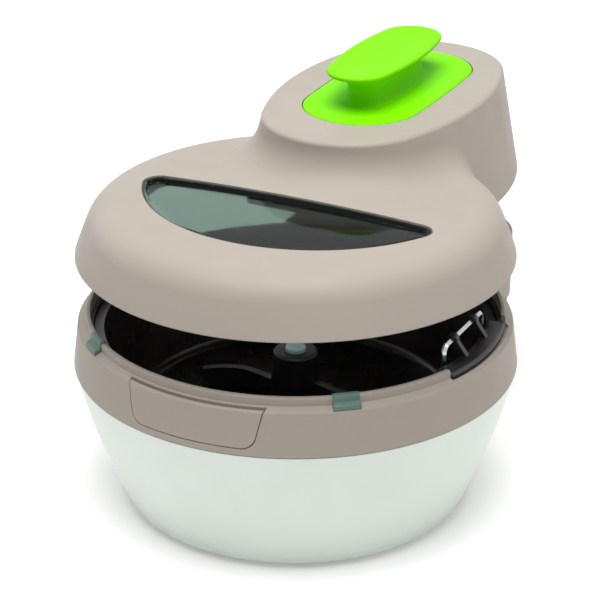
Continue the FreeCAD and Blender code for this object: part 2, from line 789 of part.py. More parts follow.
# Rear services: board, switch and cord bush.
board_z = floor_top + 6
board_holes = [(-40, 160), (40, 160), (-40, 196), (40, 196)]
board_legs = [
    rod(f"board_leg{i}", "z", (x, y), 3, (floor_top, board_z)) for i, (x, y) in enumerate(board_holes)
]
node("board_posts", together("legs", *board_legs))
node("control_board", joined(
    "board",
    box("board_sheet", (-46, 46), (152, 204), (board_z, board_z + 1.6)),
    box("board_relay", (-30, -12), (166, 182), (board_z + 1, board_z + 16)),
    box("board_filter", (8, 26), (164, 186), (board_z + 1, board_z + 13)),
    rod("board_capacitor", "z", (36, 176), 5, (board_z + 1, board_z + 17)),
))
housing_rear = size.tower_rear - 2
node("switch_frame", cut(
    "switch_frame_cut",
    joined(
        "switch_frame_solid",
        box("switch_flange", (-53, -27), (housing_rear, housing_rear + 1.6), (36, 54)),
        box("switch_case", (-50.8, -29.2), (housing_rear - 15, housing_rear + 0.5), (38.2, 51.8)),
    ),
    box("switch_pocket", (-48.6, -31.4), (housing_rear - 11, housing_rear + 6), (40, 50)),
))
rocker = prism("rocker_shape", [
    (-47.6, housing_rear - 4),
    (-32.4, housing_rear - 4),
    (-32.4, housing_rear + 2.6),
    (-40, housing_rear + 1.2, -16),
    (-47.6, housing_rear + 2.6, -16),
], 40.6, 49.4)
rocker_pin = rod("rocker_pin", "z", (-40, housing_rear - 4), 1.5, (40.1, 49.9))
node("power_rocker", joined("rocker", rocker, rocker_pin))
node("cord_gland", cut(
    "gland_cut",
    joined(
        "gland_solid",
        rod("gland_flange", "y", (45, 26), 10, (housing_rear, housing_rear + 3)),
        rod("gland_neck", "y", (45, 26), 6.8, (housing_rear - 8, housing_rear + 14)),
    ),
    rod("gland_bore", "y", (45, 26), 3.6, (housing_rear - 20, housing_rear + 30)),
))

# Lid shell: a round dome and an oval hood in one moulding.
def dome(name, inset, drop, low):
    reach = size.lid_radius - inset
    crown = size.crown_height
    shoulder = reach - size.shoulder_width
    crown_radius = (shoulder * shoulder + crown * crown) / (2 * crown)
    return turned(name, [
        (0, low),
        (reach, low),
        (reach, 0.5),
        (reach - size.side_lean, size.side_height - drop, size.side_round),
        (shoulder, size.dome_height - crown - drop, size.shoulder_round),
        (0, size.dome_height - drop, crown_radius),
    ])


def hood(name, inset, low, high):
    foot = oval(
        size.hood_foot_half - inset, size.hood_foot_length - inset, size.hood_foot_middle,
        size.hood_foot_tip - inset,
    )
    top = oval(
        size.hood_half - inset, size.hood_length - inset, size.hood_middle, size.hood_tip - inset
    )
    return loft(name, foot, low, top, high)


dome_outer = dome("dome_outer", as_size(0), as_size(0), 0)
hood_outer = hood("hood_outer", as_size(0), 0, size.hood_height)
shell_solid = joined("shell_solid", dome_outer, hood_outer)
doc.recompute()


def shared(edge):
    spot = edge.valueAt((edge.FirstParameter + edge.LastParameter) / 2)
    point = Part.Vertex(spot)
    both = all(item.Shape.distToShape(point)[0] < 1e-3 for item in (dome_outer, hood_outer))
    return both and spot.z > 1


def neck_radius(point):
    high = point.z > size.dome_height.value - size.crown_height.value
    return (size.neck_round if high else size.neck_side_round).value


shell_blend = rounded("shell_blend", shell_solid, neck_radius, shared)
shell_soft = rounded("shell_soft", shell_blend, even(3), level(size.hood_height))
dome_inner = dome("dome_inner", size.lid_wall, size.lid_wall, -5)
hood_inner = hood("hood_inner", size.lid_wall, -5, size.hood_height - size.lid_wall)


def window_outline(grow):
    reach = size.window_radius + grow
    chord = grow - size.window_chord
    drop = chord - size.window_middle
    half = Size(
        math.sqrt(reach.value**2 - drop.value**2),
        f"sqrt({reach.text} * {reach.text} - {drop.text} * {drop.text})",
    )
    return [(-half, chord), (0, size.window_middle - reach, reach), (half, chord, reach)]


def window_prism(name, grow):
    points = window_outline(as_size(grow))
    body = prism(name, points, 0, size.hood_height)
    return softened(body, 9 + as_size(grow), upright_ends)


def upright_ends(edge):
    return upright(edge) and abs(edge.Vertexes[0].X) > 20


window_room = window_prism("window_room", 1.4)
cover_room = prism("cover_room", oval(
    size.cover_half + 0.5, size.cover_length + 0.5, size.cover_middle, size.cover_half - 0.5
), size.hood_height - 10, size.hood_height + 10)
node("lid_shell", cut("shell", shell_soft, dome_inner, hood_inner, window_room, cover_room), lid_rise)

# Window pane and its dark gasket, sunk into the dome.
pane_drop = 2.5
pane_layer = cut(
    "pane_layer",
    dome("pane_top", as_size(0), as_size(pane_drop), -8),
    dome("pane_bottom", as_size(0), as_size(pane_drop + 2.4), -12),
)
node("lid_window", overlap("window", pane_layer, window_prism("window_shape", 0)), lid_rise)
gasket_layer = cut(
    "gasket_layer",
    dome("gasket_top", as_size(0), as_size(0.6), -8),
    dome("gasket_bottom", as_size(0), as_size(pane_drop + 3.4), -12),
)
gasket_ring = cut("gasket_ring", window_prism("gasket_shape", 1.3), window_prism("gasket_room", 0.1))
node("window_gasket", overlap("gasket", gasket_layer, gasket_ring), lid_rise)

# Lid seal: a soft ring on the leaning wall, above the flange of the closed collar.
seal_top = size.seal_height + 2.4
inner_lean = size.side_lean / (size.side_height - size.lid_wall - 0.5)
seal_face = size.lid_radius - size.lid_wall - 0.3
seal_low_radius = seal_face - inner_lean * (size.seal_height - 0.5)
seal_high_radius = seal_face - inner_lean * (seal_top - 0.5)
seal_inside = seal_low_radius - size.seal_width
seal_ring = turned("seal_ring", [
    (seal_inside, size.seal_height),
    (seal_low_radius, size.seal_height),
    (seal_high_radius, seal_top),
    (seal_inside, seal_top),
])
seal_gap = box("seal_gap", (-90, 90), (60, 200), (-5, 20))
node("lid_seal", cut("seal", seal_ring, seal_gap), lid_rise)

# Hood floor: carries the fan motor and the heater, slotted for the hot air.
duct_floor = box("duct_floor", (-100, 100), (44, 152), (5, 8))
duct_slots = [
    box(f"duct_slot{i}", (x - 3, x + 3), (50, 66), (0, 12)) for i, x in enumerate(range(-48, 49, 12))
]
inlet_places = [(60, 90), (-60, 90), (60, 130), (-60, 130)]
duct_inlets = [
    rod(f"duct_inlet{i}", "z", (x, y), 6, (0, 12)) for i, (x, y) in enumerate(inlet_places)
]
heater_posts = [
    rod(f"heater_post{i}", "z", (x, size.fan_y + y), 3, (7, 15))
    for i, (x, y) in enumerate(((42, 0), (-42, 0), (0, 42), (0, -42)))
]
hood_room = hood("hood_room", size.lid_wall + 0.3, -5, size.hood_height - size.lid_wall)
duct_sheet = cut("duct_sheet", duct_floor, *duct_slots, *duct_inlets)
node("duct_plate", joined("duct", overlap("duct_fit", duct_sheet, hood_room), *heater_posts), lid_rise)
heater_low = as_size(15 + 3.3)
node("heater_coil", together(
    "heater",
    torus("heater_lower", 0, size.fan_y, heater_low, 42, 3.2),
    torus("heater_upper", 0, size.fan_y, heater_low + 6.5, 42, 3.2),
), lid_rise)
motor_can = joined(
    "motor_can",
    rod("motor_case", "z", (0, size.fan_y), 20, (8, 30)),
    rod("motor_neck", "z", (0, size.fan_y), 8, (29, 33)),
)
motor_bore = rod("motor_bore", "z", (0, size.fan_y), 2.55, (14, 40))
node("fan_motor", cut("motor", motor_can, motor_bore), lid_rise)
fan_low = as_size(35)
fan_disc = rod("fan_disc", "z", (0, size.fan_y), size.fan_radius, (fan_low, fan_low + 1.6))
fan_hub = rod("fan_hub", "z", (0, size.fan_y), 7, (fan_low, fan_low + 12))
fan_shaft = rod("fan_shaft", "z", (0, size.fan_y), 2.5, (15, fan_low + 12))
fan_blades = []
for i in range(12):
    blade = doc.addObject("Part::Box", f"fan_blade{i}")
    turn = FreeCAD.Rotation(Vector(0, 0, 1), 30 * i)
    reach = turn.multVec(Vector(16, -0.8, 0))
    blade.Placement = FreeCAD.Placement(Vector(reach.x, reach.y, 0), turn)
    drive(blade, "Length", size.fan_radius - 17)
    drive(blade, "Width", 1.6)
    drive(blade, "Height", 12)
    drive(blade, "Placement.Base.x", reach.x)
    drive(blade, "Placement.Base.y", size.fan_y + reach.y)
    drive(blade, "Placement.Base.z", fan_low + 1)
    fan_blades.append(blade)
node("fan_wheel", joined("fan", fan_disc, fan_hub, fan_shaft, *fan_blades), lid_rise)

# Filter: tray under the hood's roof, pad, green cover and its raised grip.
roof = size.hood_height - size.lid_wall
tray_outer = prism("tray_outer", oval(
    size.cover_half + 3, size.cover_length + 3, size.cover_middle, size.cover_half
), roof - 8, roof)
tray_inner = prism("tray_inner", oval(
    size.cover_half - 4, size.cover_length - 4, size.cover_middle, size.cover_half - 6
), roof - 6, roof + 5)
tray_slots = [
    box(f"tray_slot{i}", (x - 3, x + 3), (size.fan_y - 34, size.fan_y + 70), (roof - 20, roof))
    for i, x in enumerate(range(-24, 25, 12))
]
node("filter_tray", cut("tray", tray_outer, tray_inner, *tray_slots), lid_rise)
node("filter_pad", prism("pad", oval(
    size.cover_half - 4.6, size.cover_length - 4.6, size.cover_middle, size.cover_half - 6.6
), roof - 5.6, roof), lid_rise)
cover_plate = prism("cover_plate", oval(
    size.cover_half, size.cover_length, size.cover_middle, size.cover_half - 1
), roof, size.hood_height + 0.8)
node("filter_cover", softened(cover_plate, 1.5, level(size.hood_height + 0.8)), lid_rise)
grip_top = size.hood_height + size.grip_rise
grip_leaf = prism("grip_leaf", oval(
    size.grip_half, size.grip_length, size.grip_middle, 22
), grip_top - 7, grip_top)
grip_leaf = softened(softened(grip_leaf, 2.5, level(grip_top)), 3, level(grip_top - 7))
grip_stem = loft(
    "grip_stem",
    oval(15, size.grip_length - 20, size.grip_middle, 13), size.hood_height + 0.8,
    oval(10, size.grip_length - 28, size.grip_middle, 8.5), grip_top - 5,
)
node("filter_grip", joined("filter_grip_solid", grip_leaf, grip_stem), lid_rise)

# Hinge ribs hang from the hood's roof and turn on the pin.
ribs = []
for side, sign in (("left", -1), ("right", 1)):
    span = sorted((sign * 48, sign * 56))
    ribs.append(joined(
        "rib_" + side,
        box("rib_arm_" + side, span, (size.hinge_y - 8, size.hinge_y + 8), (size.hinge_z, roof)),
        rod("rib_eye_" + side, "x", (size.hinge_y, size.hinge_z), 8, span),
    ))
rib_bore = rod("rib_bore", "x", (size.hinge_y, size.hinge_z), size.pin_radius + 0.06, (-70, 70))
node("hinge_ribs", cut("rib_pair", together("rib_blanks", *ribs), rib_bore), lid_rise)

doc.recompute()
faults = [
    item.Name for item in doc.Objects
    if any(word in state for state in item.State for word in ("Invalid", "Error"))
]
faults += [
    item.Label for item in nodes
    if item.Shape.isNull() or not item.Shape.isValid() or not 0 < item.Shape.Volume < 1e6
]
if faults:
    raise SystemExit("not sound: " + ", ".join(sorted(set(faults))))
os.makedirs("parts", exist_ok=True)
for item in nodes:
    item.Shape.exportStep(f"parts/{item.Label}.step")
print(len(nodes), "pieces written")
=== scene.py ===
import json
import math

import bmesh
import bpy
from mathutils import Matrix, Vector


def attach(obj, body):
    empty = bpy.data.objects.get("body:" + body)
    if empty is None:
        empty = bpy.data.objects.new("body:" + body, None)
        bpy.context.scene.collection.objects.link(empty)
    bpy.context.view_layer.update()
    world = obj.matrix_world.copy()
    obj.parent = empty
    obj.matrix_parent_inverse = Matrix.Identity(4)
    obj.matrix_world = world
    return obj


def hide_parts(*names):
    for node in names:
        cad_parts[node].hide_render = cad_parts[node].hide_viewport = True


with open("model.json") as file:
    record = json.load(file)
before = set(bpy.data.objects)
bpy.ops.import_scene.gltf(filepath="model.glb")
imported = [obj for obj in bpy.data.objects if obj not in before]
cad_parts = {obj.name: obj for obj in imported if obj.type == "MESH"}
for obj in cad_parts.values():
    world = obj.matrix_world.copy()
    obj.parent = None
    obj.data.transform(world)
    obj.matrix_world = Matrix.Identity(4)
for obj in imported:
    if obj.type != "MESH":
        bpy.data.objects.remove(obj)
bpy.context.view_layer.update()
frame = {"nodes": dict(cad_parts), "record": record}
nodes = frame["nodes"]
scene = bpy.context.scene
scene.view_settings.view_transform = "Standard"
print("frame loaded:", len(nodes), "CAD pieces")

# Camera at the photograph's viewing angle
photoCamera = {
    "target": (0.0, -0.055, 0.120),
    "distance": 1.5,
    "azimuth": 27.0,
    "elevation": 25.1,
    "lens": 133.1,
    "shiftX": 0.0073,
    "shiftY": 0.0427,
}


def makeCamera(view):
    turn, rise = math.radians(view["azimuth"]), math.radians(view["elevation"])
    back = Vector((math.sin(turn) * math.cos(rise), -math.cos(turn) * math.cos(rise), math.sin(rise)))
    camera = bpy.data.objects.new("photoCamera", bpy.data.cameras.new("photoCamera"))
    scene.collection.objects.link(camera)
    camera.location = Vector(view["target"]) + back * view["distance"]
    camera.rotation_euler = (-back).to_track_quat("-Z", "Y").to_euler()
    camera.data.lens = view["lens"]
    camera.data.shift_x, camera.data.shift_y = view["shiftX"], view["shiftY"]
    scene.camera = camera


makeCamera(photoCamera)
print("camera set")


# Small helpers for node trees; colours are given as on a screen, 0 to 255
white = (1.0, 1.0, 1.0, 1.0)
colourMix = {"inputs": (0, 6, 7), "output": 2}


def linear(red, green, blue):
    parts = [value / 255 for value in (red, green, blue)]
    bent = [v / 12.92 if v <= 0.04045 else ((v + 0.055) / 1.055) ** 2.4 for v in parts]
    return (*bent, 1.0)


def darker(color, share):
    return linear(*[value * share for value in color])


def addNode(tree, kind, **settings):
    made = tree.nodes.new(kind)
    for name, value in settings.items():
        setattr(made, name, value)
    return made


def give(tree, socket, value):
    if isinstance(value, bpy.types.NodeSocket):
        tree.links.new(value, socket)
    else:
        socket.default_value = value


def feed(tree, node, **inputs):
    for name, value in inputs.items():
        give(tree, node.inputs[name.replace("_", " ")], value)
    return node


def mathOf(tree, operation, first, second):
    made = addNode(tree, "ShaderNodeMath", operation=operation)
    for socket, value in zip(made.inputs, (first, second)):
        give(tree, socket, value)
    return made.outputs[0]


def mixed(tree, share, first, second):
    made = addNode(tree, "ShaderNodeMix", data_type="RGBA")
    for slot, value in zip(colourMix["inputs"], (share, first, second)):
        give(tree, made.inputs[slot], value)
    return made.outputs[colourMix["output"]]


def newGroup(name, inputs, outputs):
    tree = bpy.data.node_groups.new(name, "ShaderNodeTree")
    for label, kind, value in inputs:
        socket = tree.interface.new_socket(label, in_out="INPUT", socket_type="NodeSocket" + kind)
        socket.default_value = value
    for label, kind in outputs:
        tree.interface.new_socket(label, in_out="OUTPUT", socket_type="NodeSocket" + kind)
    return tree, addNode(tree, "NodeGroupInput").outputs, addNode(tree, "NodeGroupOutput").inputs


def objectPlace(tree):
    return addNode(tree, "ShaderNodeTexCoord").outputs["Object"]


def noise(tree, place, scale, detail):
    made = addNode(tree, "ShaderNodeTexNoise")
    return feed(tree, made, Vector=place, Scale=scale, Detail=detail).outputs["Fac"]


def ramp(tree, value, low, high, start=0.0, end=1.0):
    made = addNode(tree, "ShaderNodeMapRange")
    feed(tree, made, Value=value, From_Min=low, From_Max=high, To_Min=start, To_Max=end)
    return made.outputs["Result"]


# Patches of noise: scale, detail, and the noise values that become nought and one
patterns = {
    "drift": (9.0, 3.0, 0.3, 0.7),
    "marks": (38.0, 5.0, 0.46, 0.72),
    "dust": (60.0, 6.0, 0.42, 0.75),
    "tarnish": (45.0, 4.0, 0.4, 0.7),
    "sparse": (160.0, 3.0, 0.52, 0.66),
    "wipes": (30.0, 4.0, 0.45, 0.8),
}
surface = {"fineDetail": 3.0, "marksMiddle": 0.35, "dustFrom": 0.55, "bumpReach": 0.0002, "edgeSamples": 4}


def patches(tree, place, kind):
    scale, detail, low, high = patterns[kind]
    return ramp(tree, noise(tree, place, scale, detail), low, high)


# Moulded skin: fine spark grain, slow drift of tone, handling marks that change the gloss
def mouldedSkin():
    tree, given, out = newGroup(
        "mouldedSkin",
        [("Color", "Color", (0.5, 0.5, 0.5, 1)), ("Shade", "Color", (0.4, 0.4, 0.4, 1)),
         ("Rough", "Float", 0.4), ("Rough Spread", "Float", 0.1), ("Grain", "Float", 900.0)],
        [("Color", "Color"), ("Roughness", "Float"), ("Height", "Float")],
    )
    place = objectPlace(tree)
    tone = mixed(tree, patches(tree, place, "drift"), given["Color"], given["Shade"])
    marks = mathOf(tree, "SUBTRACT", patches(tree, place, "marks"), surface["marksMiddle"])
    rough = mathOf(tree, "MULTIPLY", marks, given["Rough Spread"])
    tree.links.new(tone, out["Color"])
    tree.links.new(mathOf(tree, "ADD", rough, given["Rough"]), out["Roughness"])
    tree.links.new(noise(tree, place, given["Grain"], surface["fineDetail"]), out["Height"])
    return tree


# Settled dust: a mask on faces that look up, broken by noise
def settledDust():
    tree, given, out = newGroup("settledDust", [("Amount", "Float", 0.1)], [("Mask", "Float")])
    apart = addNode(tree, "ShaderNodeSeparateXYZ")
    tree.links.new(addNode(tree, "ShaderNodeNewGeometry").outputs["Normal"], apart.inputs[0])
    up = ramp(tree, apart.outputs["Z"], surface["dustFrom"], 1.0)
    broken = patches(tree, objectPlace(tree), "dust")
    mask = mathOf(tree, "MULTIPLY", mathOf(tree, "MULTIPLY", up, broken), given["Amount"])
    tree.links.new(mask, out["Mask"])
    return tree


# Drawn metal: fine streaks along one axis and a mask for faint tarnish
def drawnMetal():
    tree, given, out = newGroup(
        "drawnMetal",
        [("Along", "Vector", (1.0, 1.0, 0.05)), ("Streaks", "Float", 700.0),
         ("Rough", "Float", 0.2), ("Rough Spread", "Float", 0.15)],
        [("Roughness", "Float"), ("Height", "Float"), ("Mask", "Float")],
    )
    place = objectPlace(tree)
    stretch = addNode(tree, "ShaderNodeVectorMath", operation="MULTIPLY")
    tree.links.new(place, stretch.inputs[0])
    tree.links.new(given["Along"], stretch.inputs[1])
    streaks = noise(tree, stretch.outputs[0], given["Streaks"], surface["fineDetail"])
    rough = mathOf(tree, "MULTIPLY", streaks, given["Rough Spread"])
    tree.links.new(mathOf(tree, "ADD", rough, given["Rough"]), out["Roughness"])
    tree.links.new(streaks, out["Height"])
    tree.links.new(patches(tree, place, "tarnish"), out["Mask"])
    return tree


skinGroup = mouldedSkin()
dustGroup = settledDust()
metalGroup = drawnMetal()


def newMaterial(name):
    made = bpy.data.materials.new(name)
    made.use_nodes = True
    tree = made.node_tree
    return made, tree, tree.nodes["Principled BSDF"]


def placeGroup(tree, group, **inputs):
    return feed(tree, addNode(tree, "ShaderNodeGroup", node_tree=group), **inputs)


def bumped(tree, shader, height, depth, soften):
    bump = addNode(tree, "ShaderNodeBump")
    feed(tree, bump, Height=height, Strength=depth, Distance=surface["bumpReach"])
    if soften:
        edge = addNode(tree, "ShaderNodeBevel", samples=surface["edgeSamples"])
        feed(tree, bump, Normal=feed(tree, edge, Radius=soften).outputs[0])
    feed(tree, shader, Normal=bump.outputs[0])


# Moulded plastics, rubbers and foam: colour, darker drift, roughness, grain, settled dust and softened edges
dustColor = (205, 202, 196)
plasticFinishes = {
    "taupe_plastic": {"color": (176, 167, 157), "shade": (172, 163, 153), "rough": 0.50, "spread": 0.10,
                      "grain": 1500.0, "depth": 0.10, "dust": 0.04, "soften": 0.0005, "shine": 0.2},
    "mint_plastic": {"color": (247, 255, 249), "shade": (236, 249, 239), "rough": 0.36, "spread": 0.08,
                     "grain": 1300.0, "depth": 0.06, "dust": 0.0, "soften": 0.0005},
    "lime_plastic": {"color": (128, 230, 3), "shade": (124, 225, 2), "rough": 0.50, "spread": 0.10,
                     "grain": 1500.0, "depth": 0.08, "dust": 0.0, "soften": 0.0004, "shine": 0.07},
    "black_plastic": {"color": (30, 30, 31), "shade": (24, 24, 25), "rough": 0.38, "spread": 0.14,
                      "grain": 1400.0, "depth": 0.18, "dust": 0.05, "soften": 0.0004},
    "pad_rubber": {"color": (96, 124, 116), "shade": (86, 113, 105), "rough": 0.55, "spread": 0.10,
                   "grain": 1100.0, "depth": 0.22, "dust": 0.10, "soften": 0.0003},
    "black_rubber": {"color": (56, 64, 61), "shade": (46, 54, 51), "rough": 0.62, "spread": 0.10,
                     "grain": 1000.0, "depth": 0.25, "dust": 0.12, "soften": 0.0003},
    "button_blue": {"color": (216, 234, 247), "shade": (207, 227, 242), "rough": 0.28, "spread": 0.08,
                    "grain": 1500.0, "depth": 0.05, "dust": 0.03, "soften": 0.0003},
    "board_green": {"color": (30, 92, 58), "shade": (24, 80, 50), "rough": 0.35, "spread": 0.15,
                    "grain": 900.0, "depth": 0.10, "dust": 0.08, "soften": 0.0},
    "filter_foam": {"color": (62, 64, 64), "shade": (46, 48, 48), "rough": 0.90, "spread": 0.06,
                    "grain": 420.0, "depth": 0.90, "dust": 0.10, "soften": 0.0},
}


def plasticMaterial(slot, finish):
    made, tree, shader = newMaterial(slot)
    skin = placeGroup(
        tree, skinGroup, Color=linear(*finish["color"]), Shade=linear(*finish["shade"]),
        Rough=finish["rough"], Rough_Spread=finish["spread"], Grain=finish["grain"],
    )
    dust = placeGroup(tree, dustGroup, Amount=finish["dust"])
    dusty = mixed(tree, dust.outputs["Mask"], skin.outputs["Color"], linear(*dustColor))
    feed(tree, shader, Base_Color=dusty, Roughness=skin.outputs["Roughness"])
    if "shine" in finish:
        feed(tree, shader, Specular_IOR_Level=finish["shine"])
    bumped(tree, shader, skin.outputs["Height"], finish["depth"], finish["soften"])
    return made


# Metals: colour, roughness, streaks along an axis and their depth
metalWear = {"tarnish": 0.9, "soften": 0.0002}
metalFinishes = {
    "handle_chrome": {"color": (196, 198, 200), "rough": 0.12, "spread": 0.10,
                      "along": (1.0, 0.1, 1.0), "depth": 0.04},
    "steel": {"color": (176, 178, 180), "rough": 0.24, "spread": 0.18,
              "along": (1.0, 1.0, 0.05), "depth": 0.10},
    "bronze_bush": {"color": (176, 132, 74), "rough": 0.34, "spread": 0.16,
                    "along": (0.3, 0.3, 1.0), "depth": 0.12},
    "duct_metal": {"color": (150, 152, 154), "rough": 0.36, "spread": 0.20,
                   "along": (0.05, 1.0, 1.0), "depth": 0.12},
}


def metalMaterial(slot, finish):
    made, tree, shader = newMaterial(slot)
    drawn = placeGroup(
        tree, metalGroup, Along=finish["along"], Rough=finish["rough"], Rough_Spread=finish["spread"],
    )
    tarnished = darker(finish["color"], metalWear["tarnish"])
    tone = mixed(tree, drawn.outputs["Mask"], linear(*finish["color"]), tarnished)
    feed(tree, shader, Base_Color=tone, Metallic=1.0, Roughness=drawn.outputs["Roughness"])
    bumped(tree, shader, drawn.outputs["Height"], finish["depth"], metalWear["soften"])
    return made


# Non-stick coating: near black with a fine pale fleck
coatingFinish = {
    "color": (38, 33, 30), "shadeShare": 0.8, "rough": 0.30, "spread": 0.12, "grain": 1200.0, "depth": 0.2,
    "soften": 0.0003, "fleck": (78, 72, 66), "fleckSize": 650.0, "fleckRange": (0.26, 0.14),
}


def coatingMaterial(slot, finish):
    made, tree, shader = newMaterial(slot)
    place = objectPlace(tree)
    cells = feed(tree, addNode(tree, "ShaderNodeTexVoronoi"), Vector=place, Scale=finish["fleckSize"])
    fleck = ramp(tree, cells.outputs["Distance"], *finish["fleckRange"])
    share = mathOf(tree, "MULTIPLY", fleck, patches(tree, place, "sparse"))
    skin = placeGroup(
        tree, skinGroup, Color=linear(*finish["color"]), Shade=darker(finish["color"], finish["shadeShare"]),
        Rough=finish["rough"], Rough_Spread=finish["spread"], Grain=finish["grain"],
    )
    tone = mixed(tree, share, skin.outputs["Color"], linear(*finish["fleck"]))
    feed(tree, shader, Base_Color=tone, Roughness=skin.outputs["Roughness"])
    bumped(tree, shader, skin.outputs["Height"], finish["depth"], finish["soften"])
    return made


# Smoked pane: tinted clear plastic with faint wipe marks in its gloss
paneFinish = {
    "color": (100, 125, 115), "rough": 0.03, "spread": 0.06, "clear": 1.0, "bend": 1.2, "shine": 0.05,
    "wipeTurn": (0.0, 0.0, math.radians(20)), "wipeStretch": (1.0, 6.0, 1.0),
}


def paneMaterial(slot, finish):
    made, tree, shader = newMaterial(slot)
    feed(tree, shader, Base_Color=linear(*finish["color"]), Transmission_Weight=finish["clear"],
         IOR=finish["bend"], Specular_IOR_Level=finish["shine"])
    wipe = feed(tree, addNode(tree, "ShaderNodeMapping"), Vector=objectPlace(tree),
                Rotation=finish["wipeTurn"], Scale=finish["wipeStretch"])
    marks = mathOf(tree, "MULTIPLY", patches(tree, wipe.outputs[0], "wipes"), finish["spread"])
    feed(tree, shader, Roughness=mathOf(tree, "ADD", marks, finish["rough"]))
    return made


materials = {slot: plasticMaterial(slot, finish) for slot, finish in plasticFinishes.items()}
materials.update({slot: metalMaterial(slot, finish) for slot, finish in metalFinishes.items()})
materials["pan_coating"] = coatingMaterial("pan_coating", coatingFinish)
materials["smoked_pane"] = paneMaterial("smoked_pane", paneFinish)
slotOfNode = {part["node"]: part["material_slot"] for part in frame["record"]["subparts"]}


def dress(piece, node):
    piece.data.materials.clear()
    piece.data.materials.append(materials[slotOfNode[node]])


for nodeName, cadPiece in nodes.items():
    dress(cadPiece, nodeName)
print("materials made:", len(materials))

# Pieces made here ride on the body of the node they stand for
bodyOfNode = {n: body for body, members in frame["record"]["behaviour"]["bodies"].items() for n in members}


def standsFor(piece, node):
    dress(piece, node)
    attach(piece, bodyOfNode[node])
    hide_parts(node)
    return piece


# Edges that turn by more than this look sharp; soft pieces use the wider turn
hardTurn, softTurn = math.radians(35), math.radians(60)
weldReach = 1e-6


def cleaned(mesh, shape, smooth):
    bmesh.ops.remove_doubles(shape, verts=shape.verts, dist=weldReach)
    bmesh.ops.recalc_face_normals(shape, faces=shape.faces)
    shape.to_mesh(mesh)
    shape.free()
    mesh.shade_smooth()
    mesh.set_sharp_from_angle(angle=smooth)
    return mesh


def placePiece(name, shape, smooth=hardTurn):
    piece = bpy.data.objects.new(name, cleaned(bpy.data.meshes.new(name), shape, smooth))
    scene.collection.objects.link(piece)
    return piece


# Modifiers turned into plain mesh
def settled(piece, smooth=hardTurn):
    shown = piece.evaluated_get(bpy.context.evaluated_depsgraph_get())
    mesh = bpy.data.meshes.new_from_object(shown)
    piece.modifiers.clear()
    shape = bmesh.new()
    shape.from_mesh(mesh)
    piece.data = cleaned(mesh, shape, smooth)
    return piece


def bridge(shape, low, high):
    for here in range(len(low)):
        after = (here + 1) % len(low)
        shape.faces.new((low[here], low[after], high[after], high[here]))


def closeLoop(shape, loop):
    middle = shape.verts.new(sum((v.co for v in loop), Vector()) / len(loop))
    for here in range(len(loop)):
        shape.faces.new((loop[here], loop[(here + 1) % len(loop)], middle))


def closedStack(name, loops, smooth=hardTurn):
    shape = bmesh.new()
    rings = [[shape.verts.new(spot) for spot in loop] for loop in loops]
    for low, high in zip(rings, rings[1:]):
        bridge(shape, low, high)
    closeLoop(shape, rings[0])
    closeLoop(shape, rings[-1])
    return placePiece(name, shape, smooth)


# The bowl's axis and the lid's rim at rest, as the frame has them
layout = {"axisY": -0.055, "lidRim": 0.1768}


def roundAxis(radius, angle, height):
    turn = math.radians(angle)
    return Vector((radius * math.cos(turn), layout["axisY"] + radius * math.sin(turn), height))


# Geometry Nodes: a tree with named sizes that ends in real geometry with its finish
profileEdgeSteps = 4


def newTree(name, sizes):
    tree = bpy.data.node_groups.new(name, "GeometryNodeTree")
    tree.interface.new_socket("Start", in_out="INPUT", socket_type="NodeSocketGeometry")
    for label, value in sizes.items():
        socket = tree.interface.new_socket(label, in_out="INPUT", socket_type="NodeSocketFloat")
        socket.default_value = value
    tree.interface.new_socket("Finish", in_out="INPUT", socket_type="NodeSocketMaterial")
    tree.interface.new_socket("Result", in_out="OUTPUT", socket_type="NodeSocketGeometry")
    return tree, addNode(tree, "NodeGroupInput").outputs, addNode(tree, "NodeGroupOutput").inputs


def endTree(tree, given, out, shape):
    real = feed(tree, addNode(tree, "GeometryNodeRealizeInstances"), Geometry=shape)
    done = feed(tree, addNode(tree, "GeometryNodeSetMaterial"), Geometry=real.outputs[0])
    tree.links.new(given["Finish"], done.inputs["Material"])
    tree.links.new(done.outputs[0], out["Result"])


def roundedBar(tree, width, height, edge):
    bar = feed(tree, addNode(tree, "GeometryNodeCurvePrimitiveQuadrilateral"), Width=width, Height=height)
    soft = addNode(tree, "GeometryNodeFilletCurve", mode="POLY")
    return feed(tree, soft, Curve=bar.outputs[0], Radius=edge, Count=profileEdgeSteps).outputs[0]


def sweptAlong(tree, path, profile, caps=False):
    made = addNode(tree, "GeometryNodeCurveToMesh")
    return feed(tree, made, Curve=path, Profile_Curve=profile, Fill_Caps=caps).outputs[0]


def atPoints(tree, points, shape):
    return feed(tree, addNode(tree, "GeometryNodeInstanceOnPoints"), Points=points, Instance=shape).outputs[0]


def raisedBy(tree, shape, height):
    lift = addNode(tree, "ShaderNodeCombineXYZ")
    feed(tree, lift, Z=height)
    moved = addNode(tree, "GeometryNodeTransform")
    return feed(tree, moved, Geometry=shape, Translation=lift.outputs[0]).outputs[0]


def pointMesh(name, places, closed=False):
    mesh = bpy.data.meshes.new(name)
    count = len(places)
    edges = [(here, (here + 1) % count) for here in range(count)] if closed else []
    mesh.from_pydata([tuple(place) for place in places], edges, [])
    return mesh


def growPiece(name, node, tree, start, sizes):
    piece = bpy.data.objects.new(name, start)
    scene.collection.objects.link(piece)
    grown = piece.modifiers.new("grown", "NODES")
    grown.node_group = tree
    values = {**sizes, "Finish": materials[slotOfNode[node]]}
    for socket in tree.interface.items_tree:
        if socket.name in values:
            grown[socket.identifier] = values[socket.name]
    standsFor(settled(piece), node)


